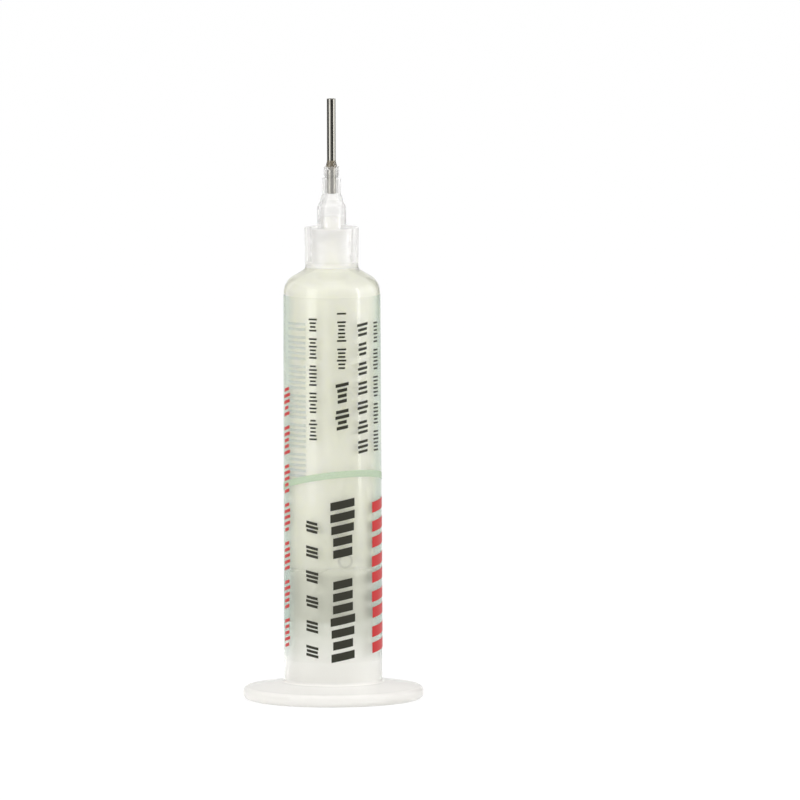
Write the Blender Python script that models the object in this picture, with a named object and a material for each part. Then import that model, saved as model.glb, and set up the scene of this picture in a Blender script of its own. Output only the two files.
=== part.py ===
"""Flux syringe: a filled luer-lock dispensing barrel with its wiper piston, label and blunt needle.

The origin is the centre of the finger flange's underside, and +Z runs up the barrel to the needle.
All lengths are in metres. Radii are written from the centre line outwards, and heights from the
flange upwards, so that each piece takes its seat from the piece that carries it.
"""

import math

import bmesh
import bpy
from mathutils import Matrix

MM = 0.001

# Facets round a full turn
SEGMENTS = 64
NEEDLE_SEGMENTS = 32
ARC_STEPS = 4
SMOOTH_ANGLE = math.radians(35)
MERGE_DISTANCE = 1e-7

# Finger flange
FLANGE_RADIUS = 16.9 * MM
FLANGE_THICKNESS = 2.3 * MM
FLANGE_EDGE_ROUND = 0.9 * MM
FLANGE_CROWN = 0.9 * MM
FLANGE_FILLET = 0.6 * MM

# Tube and bore
TUBE_LENGTH = 76.5 * MM
BORE_RADIUS = 7.9 * MM
WALL_AT_FOOT = 1.28 * MM
WALL_AT_TOP = 1.15 * MM
BORE_LEAD_IN = 0.5 * MM

# Shoulder between the tube and the nozzle
SHOULDER_ANGLE = math.radians(30)
SHOULDER_ROUND = 3.5 * MM
FLOOR_WALL = 1.0 * MM

# Tapered nozzle
LUER_TAPER = 0.06
NOZZLE_TIP_RADIUS = 1.985 * MM
NOZZLE_BORE_RADIUS = 1.2 * MM
NOZZLE_PROUD = 2.1 * MM
NOZZLE_EDGE_ROUND = 0.2 * MM

# Threaded collar round the nozzle
COLLAR_DEPTH = 6.6 * MM
COLLAR_WALL = 0.9 * MM
COLLAR_FLARE = 0.2 * MM
COLLAR_EDGE_ROUND = 0.25 * MM
THREAD_LEAD = 5.0 * MM
THREAD_STARTS = 2
RIDGE_HEIGHT = 0.55 * MM
RIDGE_CREST_WIDTH = 0.5 * MM
RIDGE_ROOT_WIDTH = 1.1 * MM
RIDGE_BELOW_RIM = 0.7 * MM
RIDGE_ABOVE_FLOOR = 1.0 * MM

# Label film wrapped round the tube
LABEL_THICKNESS = 0.06 * MM
LABEL_GAP = 0.03 * MM
LABEL_FOOT = 7.5 * MM
LABEL_TOP_MARGIN = 0.4 * MM
LABEL_SEAM_WIDTH = 2.0 * MM

# Wiper piston
PISTON_GAP = 0.06 * MM
PISTON_SETBACK = 15.0 * MM
PISTON_LENGTH = 10.0 * MM
PISTON_WALL = 1.4 * MM
PISTON_CROWN = 1.6 * MM
LIP_HEIGHT = 0.55 * MM
LIP_WIDTH = 1.1 * MM
LIP_SLOPE = 0.9 * MM
NOSE_LAND = 0.8 * MM

# Flux that fills the barrel
FILL_GAP = 0.06 * MM
FILL_TO_PISTON = 0.3 * MM
FILL_BELOW_TIP = 0.4 * MM

# Needle hub
TAPER_GAP = 0.08 * MM
HUB_ENGAGEMENT = 3.4 * MM
SOCKET_HEADROOM = 1.7 * MM
HUB_WALL = 0.45 * MM
HUB_SHOULDER_HEIGHT = 2.4 * MM
HUB_BODY_LENGTH = 3.0 * MM
HUB_BODY_WALL = 0.9 * MM
HUB_WAIST_LENGTH = 0.4 * MM
HUB_WAIST_DEPTH = 0.14 * MM
HUB_NECK_LENGTH = 1.8 * MM
HUB_NECK_WALL = 0.58 * MM
HUB_EDGE_ROUND = 0.2 * MM
LUG_HEIGHT = 1.22 * MM
LUG_TO_WALL = 0.15 * MM
LUG_TIP_WIDTH = 0.9 * MM
LUG_ROOT_WIDTH = 1.2 * MM
LUG_SPAN = math.radians(78)
LUG_STEPS = 12
THREAD_PLAY = 0.12 * MM

# Blunt steel needle and the adhesive that holds it
NEEDLE_RADIUS = 0.825 * MM
NEEDLE_BORE_RADIUS = 0.6 * MM
NEEDLE_EXPOSED = 12.7 * MM
NEEDLE_EDGE_ROUND = 0.06 * MM
NEEDLE_GAP = 0.05 * MM
NEEDLE_SEAT_GAP = 0.1 * MM
BOND_HEIGHT = 1.1 * MM
BOND_WIDTH = 0.26 * MM
BOND_LIP = 0.06 * MM
BOND_RECESS = 0.7 * MM
BOND_GAP = 0.04 * MM

# Radii worked out from the nozzle outwards
NOZZLE_ROOT_RADIUS = NOZZLE_TIP_RADIUS + LUER_TAPER / 2 * (COLLAR_DEPTH + NOZZLE_PROUD)
SOCKET_MOUTH_RADIUS = NOZZLE_TIP_RADIUS + LUER_TAPER / 2 * (HUB_ENGAGEMENT + NOZZLE_PROUD) + TAPER_GAP
HUB_SKIRT_RADIUS = SOCKET_MOUTH_RADIUS + HUB_WALL
LUG_RADIUS = HUB_SKIRT_RADIUS + LUG_HEIGHT
COLLAR_BORE_RADIUS = LUG_RADIUS + LUG_TO_WALL
COLLAR_RADIUS = COLLAR_BORE_RADIUS + COLLAR_WALL
RIDGE_CREST_RADIUS = COLLAR_BORE_RADIUS - RIDGE_HEIGHT

# Radii worked out from the bore
FOOT_RADIUS = BORE_RADIUS + WALL_AT_FOOT
TOP_RADIUS = BORE_RADIUS + WALL_AT_TOP
SHOULDER_CENTRE_RADIUS = TOP_RADIUS - SHOULDER_ROUND
PISTON_RADIUS = BORE_RADIUS - PISTON_GAP
PISTON_WAIST_RADIUS = PISTON_RADIUS - LIP_HEIGHT
PISTON_RECESS_RADIUS = PISTON_WAIST_RADIUS - PISTON_WALL

# Radii worked out from the needle
NEEDLE_HOLE_RADIUS = NEEDLE_RADIUS + NEEDLE_GAP
HUB_BODY_RADIUS = NEEDLE_HOLE_RADIUS + HUB_BODY_WALL
HUB_NECK_RADIUS = NEEDLE_HOLE_RADIUS + HUB_NECK_WALL
HUB_WAIST_RADIUS = HUB_NECK_RADIUS - HUB_WAIST_DEPTH


def shoulder_height(tube_radius, radius):
    """Height above the shoulder's start of the cone that joins a tube of tube_radius to the nozzle."""
    turn = math.pi / 2 - SHOULDER_ANGLE
    round_radius = tube_radius - SHOULDER_CENTRE_RADIUS
    cone_start_radius = SHOULDER_CENTRE_RADIUS + round_radius * math.cos(turn)
    return round_radius * math.sin(turn) + (cone_start_radius - radius) * math.tan(SHOULDER_ANGLE)


# Heights worked out from the flange upwards
FLANGE_TOP_Z = FLANGE_THICKNESS + FLANGE_CROWN
COLLAR_FLOOR_Z = TUBE_LENGTH + shoulder_height(BORE_RADIUS, NOZZLE_ROOT_RADIUS) + FLOOR_WALL
COLLAR_RIM_Z = COLLAR_FLOOR_Z + COLLAR_DEPTH
NOZZLE_TIP_Z = COLLAR_RIM_Z + NOZZLE_PROUD
PISTON_FRONT_Z = PISTON_SETBACK + PISTON_LENGTH
HUB_BASE_Z = COLLAR_RIM_Z - HUB_ENGAGEMENT
HUB_SKIRT_TOP_Z = NOZZLE_TIP_Z + SOCKET_HEADROOM
HUB_BODY_Z = HUB_SKIRT_TOP_Z + HUB_SHOULDER_HEIGHT
HUB_WAIST_Z = HUB_BODY_Z + HUB_BODY_LENGTH
HUB_NECK_Z = HUB_WAIST_Z + HUB_WAIST_LENGTH
HUB_TOP_Z = HUB_NECK_Z + HUB_NECK_LENGTH
NEEDLE_BOTTOM_Z = HUB_BODY_Z + NEEDLE_SEAT_GAP
NEEDLE_TIP_Z = HUB_TOP_Z + NEEDLE_EXPOSED


def clear_scene():
    for old in list(bpy.data.objects):
        bpy.data.objects.remove(old, do_unlink=True)


def material(name, colour, roughness, metallic=0.0, transmission=0.0):
    made = bpy.data.materials.new(name)
    made.use_nodes = True
    shader = made.node_tree.nodes["Principled BSDF"]
    shader.inputs["Base Color"].default_value = (*colour, 1.0)
    shader.inputs["Roughness"].default_value = roughness
    shader.inputs["Metallic"].default_value = metallic
    shader.inputs["Transmission Weight"].default_value = transmission
    return made


def arc(centre, radius, start, end, steps=ARC_STEPS):
    """Points of an arc in the plane of a profile, from angle start to angle end in degrees."""
    points = []
    for step in range(steps + 1):
        angle = math.radians(start + (end - start) * step / steps)
        points.append((centre[0] + radius * math.cos(angle), centre[1] + radius * math.sin(angle)))
    return points


def shoulder(tube_radius, end_radius, start_z):
    """The rounded corner and cone that lead a wall of tube_radius in to end_radius."""
    turn = 90 - math.degrees(SHOULDER_ANGLE)
    round_radius = tube_radius - SHOULDER_CENTRE_RADIUS
    points = arc((SHOULDER_CENTRE_RADIUS, start_z), round_radius, 0, turn)
    points.append((end_radius, start_z + shoulder_height(tube_radius, end_radius)))
    return points


def finish_mesh(name, bm, made_of, origin_z=0.0):
    """Turn a bmesh that is built in place into an object whose origin is on the axis at origin_z."""
    bmesh.ops.recalc_face_normals(bm, faces=bm.faces)
    bmesh.ops.translate(bm, verts=bm.verts, vec=(0.0, 0.0, -origin_z))
    mesh = bpy.data.meshes.new(name)
    bm.to_mesh(mesh)
    bm.free()
    mesh.shade_smooth()
    mesh.set_sharp_from_angle(angle=SMOOTH_ANGLE)
    made = bpy.data.objects.new(name, mesh)
    made.location.z = origin_z
    bpy.context.scene.collection.objects.link(made)
    if made_of is not None:
        mesh.materials.append(made_of)
    return made


def turned(name, profile, made_of, origin_z=0.0, segments=SEGMENTS):
    """Turn a profile of (radius, height) points once round the axis.

    A profile that starts off the axis is closed into a ring. One that starts and ends on the axis is
    left as it is, and gives a solid with no hole.
    """
    bm = bmesh.new()
    verts = [bm.verts.new((radius, 0.0, height)) for radius, height in profile]
    edges = [bm.edges.new(pair) for pair in zip(verts, verts[1:])]
    if profile[0][0] > 0.0:
        edges.append(bm.edges.new((verts[-1], verts[0])))
    bmesh.ops.spin(
        bm,
        geom=verts + edges,
        cent=(0.0, 0.0, 0.0),
        axis=(0.0, 0.0, 1.0),
        angle=2 * math.pi,
        steps=segments,
        use_merge=True,
    )
    bmesh.ops.remove_doubles(bm, verts=bm.verts, dist=MERGE_DISTANCE)
    return finish_mesh(name, bm, made_of, origin_z)


def helical_bars(name, section, start_angle, start_z, sweep, steps, origin_z=0.0):
    """One bar for each thread start: a closed section swept up the thread's helix and capped."""
    bm = bmesh.new()
    for start in range(THREAD_STARTS):
        verts = [bm.verts.new((radius, 0.0, start_z + height)) for radius, height in section]
        face = bm.faces.new(verts)
        turn = Matrix.Rotation(start_angle + 2 * math.pi * start / THREAD_STARTS, 3, "Z")
        bmesh.ops.rotate(bm, verts=verts, cent=(0.0, 0.0, 0.0), matrix=turn)
        bmesh.ops.spin(
            bm,
            geom=[face, *face.edges, *verts],
            cent=(0.0, 0.0, 0.0),
            axis=(0.0, 0.0, 1.0),
            dvec=(0.0, 0.0, THREAD_LEAD * sweep / (2 * math.pi) / steps),
            angle=sweep,
            steps=steps,
        )
        open_edges = [edge for edge in bm.edges if edge.is_boundary]
        bmesh.ops.holes_fill(bm, edges=open_edges, sides=len(section))
    bars = finish_mesh(name, bm, None, origin_z)
    bars.hide_render = True
    bars.display_type = "WIRE"
    return bars


def add_to(piece, addition):
    """Moulds the addition into the piece."""
    union = piece.modifiers.new(addition.name, "BOOLEAN")
    union.operation = "UNION"
    union.solver = "EXACT"
    union.object = addition


def ridge_half_width(radius):
    """Half of a thread ridge's width at a radius between its crest and the collar's wall."""
    share = (radius - RIDGE_CREST_RADIUS) / RIDGE_HEIGHT
    return (RIDGE_CREST_WIDTH + (RIDGE_ROOT_WIDTH - RIDGE_CREST_WIDTH) * share) / 2


def ridge_start_z():
    return COLLAR_FLOOR_Z + RIDGE_ABOVE_FLOOR + RIDGE_ROOT_WIDTH / 2


def make_barrel():
    """Flange, tube, shoulder, nozzle and threaded collar, moulded in one."""
    edge = min(FLANGE_EDGE_ROUND, FLANGE_THICKNESS * 0.45)
    flange_inner = FLANGE_RADIUS - edge
    collar_edge = min(COLLAR_EDGE_ROUND, COLLAR_WALL * 0.3)
    rim_radius = COLLAR_RADIUS + COLLAR_FLARE
    profile = [(BORE_RADIUS + BORE_LEAD_IN, 0.0)]
    profile += arc((flange_inner, edge), edge, -90, 0)
    profile += arc((flange_inner, FLANGE_THICKNESS - edge), edge, 0, 90)
    fillet_centre = (FOOT_RADIUS + FLANGE_FILLET, FLANGE_TOP_Z + FLANGE_FILLET)
    profile += arc(fillet_centre, FLANGE_FILLET, 270, 180)
    profile += shoulder(TOP_RADIUS, COLLAR_RADIUS, TUBE_LENGTH)
    profile += arc((rim_radius - collar_edge, COLLAR_RIM_Z - collar_edge), collar_edge, 0, 90, 2)
    profile += arc((COLLAR_BORE_RADIUS + collar_edge, COLLAR_RIM_Z - collar_edge), collar_edge, 90, 180, 2)
    profile += [(COLLAR_BORE_RADIUS, COLLAR_FLOOR_Z), (NOZZLE_ROOT_RADIUS, COLLAR_FLOOR_Z)]
    tip_edge = NOZZLE_EDGE_ROUND
    profile += arc((NOZZLE_TIP_RADIUS - tip_edge, NOZZLE_TIP_Z - tip_edge), tip_edge, 0, 90, 2)
    profile += [(NOZZLE_BORE_RADIUS, NOZZLE_TIP_Z)]
    profile += reversed(shoulder(BORE_RADIUS, NOZZLE_BORE_RADIUS, TUBE_LENGTH))
    profile += [(BORE_RADIUS, BORE_LEAD_IN)]
    plastic = material("natural_polypropylene", (0.86, 0.87, 0.83), 0.32, transmission=0.4)
    barrel = turned("barrel", profile, plastic)

    # The ridges' roots reach to the middle of the collar's wall
    root_radius = (COLLAR_BORE_RADIUS + COLLAR_RADIUS) / 2
    crest = RIDGE_CREST_WIDTH / 2
    root = ridge_half_width(root_radius)
    section = [
        (RIDGE_CREST_RADIUS, -crest),
        (root_radius, -root),
        (root_radius, root),
        (RIDGE_CREST_RADIUS, crest),
    ]
    end_z = COLLAR_RIM_Z - RIDGE_BELOW_RIM - RIDGE_ROOT_WIDTH / 2
    sweep = 2 * math.pi * (end_z - ridge_start_z()) / THREAD_LEAD
    steps = max(2, round(SEGMENTS * sweep / (2 * math.pi)))
    half_facet = math.pi / SEGMENTS
    add_to(barrel, helical_bars("thread_ridges", section, half_facet, ridge_start_z(), sweep, steps))


def make_label():
    """A printed film wrapped round the tube, with its seam at the back (+Y)."""

    def film_radius(height):
        share = (height - FLANGE_TOP_Z) / (TUBE_LENGTH - FLANGE_TOP_Z)
        return FOOT_RADIUS + (TOP_RADIUS - FOOT_RADIUS) * share + LABEL_GAP

    top = TUBE_LENGTH - LABEL_TOP_MARGIN
    seam_angle = LABEL_SEAM_WIDTH / FOOT_RADIUS
    bm = bmesh.new()
    low = bm.verts.new((film_radius(LABEL_FOOT), 0.0, LABEL_FOOT))
    high = bm.verts.new((film_radius(top), 0.0, top))
    side = bm.edges.new((low, high))
    start = Matrix.Rotation(math.pi / 2 + seam_angle / 2, 3, "Z")
    bmesh.ops.rotate(bm, verts=[low, high], cent=(0.0, 0.0, 0.0), matrix=start)
    bmesh.ops.spin(
        bm,
        geom=[low, high, side],
        cent=(0.0, 0.0, 0.0),
        axis=(0.0, 0.0, 1.0),
        angle=2 * math.pi - seam_angle,
        steps=SEGMENTS,
    )
    bm.normal_update()
    for face in bm.faces:
        if face.normal.xy.dot(face.calc_center_median().xy) < 0.0:
            face.normal_flip()
    mesh = bpy.data.meshes.new("label_film")
    bm.to_mesh(mesh)
    bm.free()
    mesh.shade_smooth()
    label = bpy.data.objects.new("label_film", mesh)
    bpy.context.scene.collection.objects.link(label)
    mesh.materials.append(material("label_film", (0.80, 0.84, 0.74), 0.35))
    skin = label.modifiers.new("film", "SOLIDIFY")
    skin.thickness = LABEL_THICKNESS
    skin.offset = 1.0


def make_flux():
    """The flux, from the piston's nose up through the shoulder into the nozzle."""
    radius = BORE_RADIUS - FILL_GAP
    neck_radius = NOZZLE_BORE_RADIUS - FILL_GAP
    profile = [(0.0, nose_height(NOZZLE_BORE_RADIUS) + FILL_TO_PISTON)]
    profile += [(NOZZLE_BORE_RADIUS, nose_height(NOZZLE_BORE_RADIUS) + FILL_TO_PISTON)]
    profile += [(nose_base_radius(), PISTON_FRONT_Z + FILL_TO_PISTON)]
    profile += [(radius, PISTON_FRONT_Z + FILL_TO_PISTON)]
    profile += shoulder(radius, neck_radius, TUBE_LENGTH)
    profile += [(neck_radius, NOZZLE_TIP_Z - FILL_BELOW_TIP), (0.0, NOZZLE_TIP_Z - FILL_BELOW_TIP)]
    turned("flux_paste", profile, material("flux_paste", (0.72, 0.78, 0.58), 0.35))


def nose_base_radius():
    return PISTON_RADIUS - NOSE_LAND


def nose_height(radius):
    """Height of the piston's conical nose at a radius, on the slope of the barrel's shoulder."""
    return PISTON_FRONT_Z + (nose_base_radius() - radius) * math.tan(SHOULDER_ANGLE)


def make_piston():
    """A hollow wiper piston with a front and a rear lip and a nose that fits the shoulder."""
    rear_z = PISTON_SETBACK
    recess_z = PISTON_FRONT_Z - PISTON_CROWN
    recess_top_z = recess_z + (PISTON_RECESS_RADIUS - NOZZLE_BORE_RADIUS) * math.tan(SHOULDER_ANGLE)
    nose_z = nose_height(NOZZLE_BORE_RADIUS)
    profile = [
        (0.0, recess_top_z),
        (NOZZLE_BORE_RADIUS, recess_top_z),
        (PISTON_RECESS_RADIUS, recess_z),
        (PISTON_RECESS_RADIUS, rear_z),
        (PISTON_RADIUS, rear_z),
        (PISTON_RADIUS, rear_z + LIP_WIDTH),
        (PISTON_WAIST_RADIUS, rear_z + LIP_WIDTH + LIP_SLOPE),
        (PISTON_WAIST_RADIUS, PISTON_FRONT_Z - LIP_WIDTH - LIP_SLOPE),
        (PISTON_RADIUS, PISTON_FRONT_Z - LIP_WIDTH),
        (PISTON_RADIUS, PISTON_FRONT_Z),
        (nose_base_radius(), PISTON_FRONT_Z),
        (NOZZLE_BORE_RADIUS, nose_z),
        (0.0, nose_z),
    ]
    plastic = material("piston_polyethylene", (0.34, 0.35, 0.35), 0.5)
    turned("piston", profile, plastic, origin_z=PISTON_SETBACK)


def make_hub(carrier):
    """The needle's hub: tapered socket, two lugs that follow the thread, stepped body and neck."""
    round_ = HUB_EDGE_ROUND
    socket_top_radius = SOCKET_MOUTH_RADIUS - LUER_TAPER / 2 * (HUB_SKIRT_TOP_Z - HUB_BASE_Z)
    profile = [(SOCKET_MOUTH_RADIUS, HUB_BASE_Z), (HUB_SKIRT_RADIUS, HUB_BASE_Z)]
    profile += arc((HUB_SKIRT_RADIUS - round_, HUB_SKIRT_TOP_Z - round_), round_, 0, 60, 2)
    profile += [(HUB_BODY_RADIUS, HUB_BODY_Z), (HUB_BODY_RADIUS, HUB_WAIST_Z)]
    profile += [(HUB_WAIST_RADIUS, HUB_WAIST_Z), (HUB_WAIST_RADIUS, HUB_NECK_Z)]
    profile += [(HUB_NECK_RADIUS, HUB_NECK_Z)]
    profile += arc((HUB_NECK_RADIUS - round_, HUB_TOP_Z - round_), round_, 0, 90, 2)
    profile += [(NEEDLE_HOLE_RADIUS + BOND_WIDTH, HUB_TOP_Z)]
    profile += [(NEEDLE_HOLE_RADIUS, HUB_TOP_Z - BOND_RECESS), (NEEDLE_HOLE_RADIUS, HUB_BODY_Z)]
    profile += [(socket_top_radius, HUB_SKIRT_TOP_Z)]
    clear_plastic = material("clear_polypropylene", (0.88, 0.88, 0.86), 0.2, transmission=0.6)
    hub = turned("needle_hub", profile, clear_plastic, HUB_BASE_Z, NEEDLE_SEGMENTS)
    hub.parent = carrier
    hub.location.z = 0.0

    # The lugs sit below the thread's ridges and start from the middle of the skirt's wall
    root_radius = (SOCKET_MOUTH_RADIUS + HUB_SKIRT_RADIUS) / 2
    tip = LUG_TIP_WIDTH / 2
    root = LUG_ROOT_WIDTH / 2
    section = [(root_radius, -root), (LUG_RADIUS, -tip), (LUG_RADIUS, tip), (root_radius, root)]
    lug_z = HUB_BASE_Z + root
    ridge_z = lug_z + tip + THREAD_PLAY + ridge_half_width(LUG_RADIUS)
    turns_up = (ridge_z - ridge_start_z()) / THREAD_LEAD
    start_angle = math.pi / SEGMENTS + 2 * math.pi * turns_up
    lugs = helical_bars("hub_lugs", section, start_angle, lug_z, LUG_SPAN, LUG_STEPS, HUB_BASE_Z)
    lugs.parent = carrier
    lugs.location.z = 0.0
    add_to(hub, lugs)


def make_needle(carrier):
    """The blunt steel tube, open from end to end, and the adhesive cone at the hub's mouth."""
    edge = NEEDLE_EDGE_ROUND
    profile = [(NEEDLE_BORE_RADIUS, NEEDLE_BOTTOM_Z), (NEEDLE_RADIUS, NEEDLE_BOTTOM_Z)]
    profile += arc((NEEDLE_RADIUS - edge, NEEDLE_TIP_Z - edge), edge, 0, 90, 2)
    profile += [(NEEDLE_BORE_RADIUS, NEEDLE_TIP_Z)]
    steel = material("stainless_steel", (0.52, 0.51, 0.49), 0.25, metallic=1.0)
    tube = turned("needle_tube", profile, steel, HUB_BASE_Z, NEEDLE_SEGMENTS)

    inner = NEEDLE_RADIUS + BOND_GAP
    outer = NEEDLE_HOLE_RADIUS + BOND_WIDTH - BOND_GAP
    profile = [
        (inner, HUB_TOP_Z - BOND_RECESS + 2 * BOND_GAP),
        (outer, HUB_TOP_Z),
        (inner + BOND_LIP, HUB_TOP_Z + BOND_HEIGHT),
        (inner, HUB_TOP_Z + BOND_HEIGHT),
    ]
    adhesive = material("adhesive", (0.16, 0.15, 0.13), 0.3)
    bond = turned("needle_bond", profile, adhesive, HUB_BASE_Z, NEEDLE_SEGMENTS)
    for piece in (tube, bond):
        piece.parent = carrier
        piece.location.z = 0.0


def main():
    clear_scene()
    make_barrel()
    make_label()
    make_flux()
    make_piston()
    carrier = bpy.data.objects.new("needle_axis", None)
    carrier.location.z = HUB_BASE_Z
    bpy.context.scene.collection.objects.link(carrier)
    make_hub(carrier)
    make_needle(carrier)


main()
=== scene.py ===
"""Dress the flux syringe: fine surfaces, finishes, label print, studio and camera."""

import math

import bmesh
import bpy
from bpy.props import FloatProperty, FloatVectorProperty, IntProperty, PointerProperty
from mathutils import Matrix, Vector


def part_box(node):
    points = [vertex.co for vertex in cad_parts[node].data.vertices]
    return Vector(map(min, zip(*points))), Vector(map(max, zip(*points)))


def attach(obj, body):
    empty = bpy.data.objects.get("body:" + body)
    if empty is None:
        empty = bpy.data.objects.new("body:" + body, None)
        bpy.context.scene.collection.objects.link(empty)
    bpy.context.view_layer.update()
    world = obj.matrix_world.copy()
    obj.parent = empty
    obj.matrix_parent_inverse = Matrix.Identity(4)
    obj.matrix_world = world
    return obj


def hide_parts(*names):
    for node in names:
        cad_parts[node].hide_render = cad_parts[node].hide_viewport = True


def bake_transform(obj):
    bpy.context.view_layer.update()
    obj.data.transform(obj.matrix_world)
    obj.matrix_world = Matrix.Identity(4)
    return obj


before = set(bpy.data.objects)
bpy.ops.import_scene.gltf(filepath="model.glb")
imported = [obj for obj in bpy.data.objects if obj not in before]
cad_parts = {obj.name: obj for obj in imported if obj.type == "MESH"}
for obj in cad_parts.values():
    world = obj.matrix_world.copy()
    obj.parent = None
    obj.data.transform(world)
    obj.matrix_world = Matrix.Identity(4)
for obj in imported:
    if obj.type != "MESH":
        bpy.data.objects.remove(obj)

bl_info = {
    "name": "Flux syringe",
    "version": (1, 0, 0),
    "blender": (4, 5, 0),
    "location": "View3D > Sidebar > Syringe",
    "description": "Builds the fine surfaces, finishes and studio of a flux syringe",
    "category": "Object",
}

MM = 0.001
TURN = 2 * math.pi
ARC_PEAK = math.radians(27)  # Where the pale band on the label stands highest
STROKE_FACET = 0.25 * MM
ON_WALL = 0.02 * MM  # How near a point is to a turned wall that it counts as on it
SAME_PLACE = 1e-8

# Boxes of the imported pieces, which the fine surfaces are built to
BARREL_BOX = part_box("barrel")
LABEL_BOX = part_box("label_film")
FLUX_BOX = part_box("flux_paste")
PISTON_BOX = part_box("piston")
HUB_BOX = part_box("needle_hub")
NEEDLE_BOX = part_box("needle_tube")
BOND_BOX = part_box("needle_bond")
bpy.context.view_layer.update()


def length(name, description, default):
    return FloatProperty(
        name=name, description=description, default=default, unit="LENGTH", precision=5
    )


def colour(name, description, default):
    return FloatVectorProperty(
        name=name, description=description, default=default, subtype="COLOR", size=3, min=0, max=1
    )


def degrees(name, description, default):
    return FloatProperty(
        name=name, description=description, default=math.radians(default), subtype="ANGLE"
    )


def pixels(name, description, default):
    return FloatProperty(name=name, description=description, default=default, subtype="PIXEL")


class SyringeBarrel(bpy.types.PropertyGroup):
    """Sizes and colour of the moulded barrel."""

    flange_radius: length("Flange radius", "Outer radius of the finger flange", BARREL_BOX[1][0])
    flange_thickness: length("Flange thickness", "Thickness of the flange at its rim", 2.3 * MM)
    flange_crown: length("Flange crown", "How much thicker the flange is at the tube", 0.9 * MM)
    flange_edge: length("Flange edge", "Rounding of the flange's rim", 0.9 * MM)
    flange_fillet: length("Flange fillet", "Rounding where the tube leaves the flange", 0.6 * MM)
    tube_length: length("Tube length", "Straight bore from the flange to the shoulder", 76.5 * MM)
    bore_radius: length("Bore radius", "Radius of the bore", 7.9 * MM)
    foot_wall: length("Wall at foot", "Tube wall at the flange", 1.28 * MM)
    top_wall: length("Wall at top", "Tube wall at the shoulder", 1.15 * MM)
    shoulder_round: length("Shoulder round", "Radius of the shoulder's rounded corner", 3.5 * MM)
    nozzle_tip_radius: length("Nozzle tip radius", "Outer radius of the nozzle's tip", 1.985 * MM)
    nozzle_bore_radius: length("Nozzle bore radius", "Radius of the nozzle's bore", 1.2 * MM)
    nozzle_proud: length("Nozzle proud", "How far the nozzle stands out of the collar", 2.1 * MM)
    collar_depth: length("Collar depth", "Depth of the threaded collar", 6.6 * MM)
    collar_bore_radius: length("Collar bore radius", "Inner radius of the collar", 4.05 * MM)
    collar_wall: length("Collar wall", "Wall of the threaded collar", 0.9 * MM)
    collar_flare: length("Collar flare", "How much wider the collar's rim is than its base", 0.2 * MM)
    thread_lead: length("Thread lead", "Rise of the thread in one turn", 5.0 * MM)
    ridge_height: length("Ridge height", "How far a ridge stands off the collar's wall", 0.55 * MM)
    ridge_crest: length("Ridge crest", "Width of a thread ridge at its crest", 0.5 * MM)
    ridge_root: length("Ridge root", "Width of a thread ridge at its root", 1.04 * MM)
    tint: colour("Tint", "Natural colour of the plastic", (0.99, 0.985, 0.96))
    thick_tint: colour("Thick tint", "Colour of the plastic where it is thick", (0.97, 0.955, 0.92))
    frost_top: length("Frost top", "Height up to which the thick foot's frosting fades", 27.0 * MM)


class SyringeContents(bpy.types.PropertyGroup):
    """Sizes and colours of the flux and the wiper piston."""

    wetting: length("Wetting", "Overlap of flux and wall, so that no air shows there", 0.01 * MM)
    piston_length: length("Piston length", "From the rear lip to the front lip", 10.0 * MM)
    lip_height: length("Lip height", "How far the lips stand out from the piston's waist", 0.55 * MM)
    lip_width: length("Lip width", "Width of a lip's land", 1.1 * MM)
    piston_wall: length("Piston wall", "Wall of the piston's skirt", 1.4 * MM)
    piston_crown: length("Piston crown", "Wall of the piston's nose", 1.6 * MM)
    nose_land: length("Nose land", "Flat ring between the front lip and the nose", 0.8 * MM)
    flux_tint: colour("Flux", "Colour of the flux", (0.93, 0.93, 0.83))
    # The piston's and skirt's greys are painted shade of the hollow piston, not the plastic's own
    # colour
    piston_shade_tint: colour("Piston", "Colour of the piston", (0.60, 0.61, 0.53))
    skirt_shade_tint: colour("Skirt", "Colour of the piston's thin skirt", (0.60, 0.61, 0.54))
    # Flux smeared over the piston's front lip; blended into the flux near the piston, this tint is also
    # painted shade there
    smear_and_shade_tint: colour("Smear", "Flux smeared over the piston's front lip", (0.80, 0.81, 0.69))
    bare_tint: colour("Bare flux", "Colour of the flux in the narrow nozzle", (0.93, 0.93, 0.9))


class SyringeNeedle(bpy.types.PropertyGroup):
    """Sizes and colours of the hub, the steel tube and the adhesive."""

    skirt_wall: length("Skirt wall", "Wall of the hub's socket", 0.45 * MM)
    taper_gap: length("Taper gap", "Clearance between nozzle and socket", 0.08 * MM)
    shoulder_height: length("Shoulder height", "Height of the hub's cone", 2.4 * MM)
    body_length: length("Body length", "Length of the hub's body", 3.0 * MM)
    neck_length: length("Neck length", "Length of the hub's neck", 1.8 * MM)
    waist_length: length("Waist length", "Groove between body and neck", 0.4 * MM)
    body_radius: length("Body radius", "Radius of the hub's body", 1.775 * MM)
    neck_radius: length("Neck radius", "Radius of the hub's neck", 1.455 * MM)
    waist_radius: length("Waist radius", "Radius in the groove", 1.315 * MM)
    needle_bore_radius: length("Needle bore", "Inner radius of the steel tube", 0.6 * MM)
    hub_tint: colour("Hub", "Colour of the clear hub", (1.0, 0.995, 0.98))
    steel_tint: colour("Steel", "Colour of the steel tube", (0.35, 0.34, 0.305))
    adhesive_tint: colour("Adhesive", "Colour of the cured adhesive", (0.62, 0.57, 0.49))


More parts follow.
